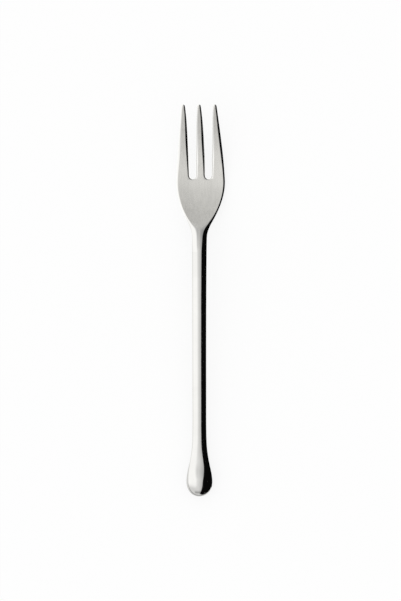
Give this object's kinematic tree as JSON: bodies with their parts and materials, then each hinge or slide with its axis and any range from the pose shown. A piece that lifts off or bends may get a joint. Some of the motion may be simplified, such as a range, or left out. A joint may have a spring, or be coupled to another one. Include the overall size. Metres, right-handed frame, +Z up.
{
  "type": "pastry fork",
  "caption": "Slim steel pastry fork with rounded tines, a flat palm and an oval stem that swells into a drop at its end; for eating and serving small cakes.",
  "frame": {"origin": "on the table under the middle of the fork, which lies tines up on the heel of its head and on its drop", "axes": "+Y along the fork from the handle to the tine tips, +X across it, +Z up"},
  "size_m": [0.02, 0.16, 0.0141],
  "materials": {
    "satin_steel": "fine lengthwise satin on the flat faces, polished edges",
    "polished_steel": "mirror polish"
  },
  "bodies": {
    "root": {"fork_head": "satin_steel", "handle": "polished_steel"}
  },
  "joints": []
}
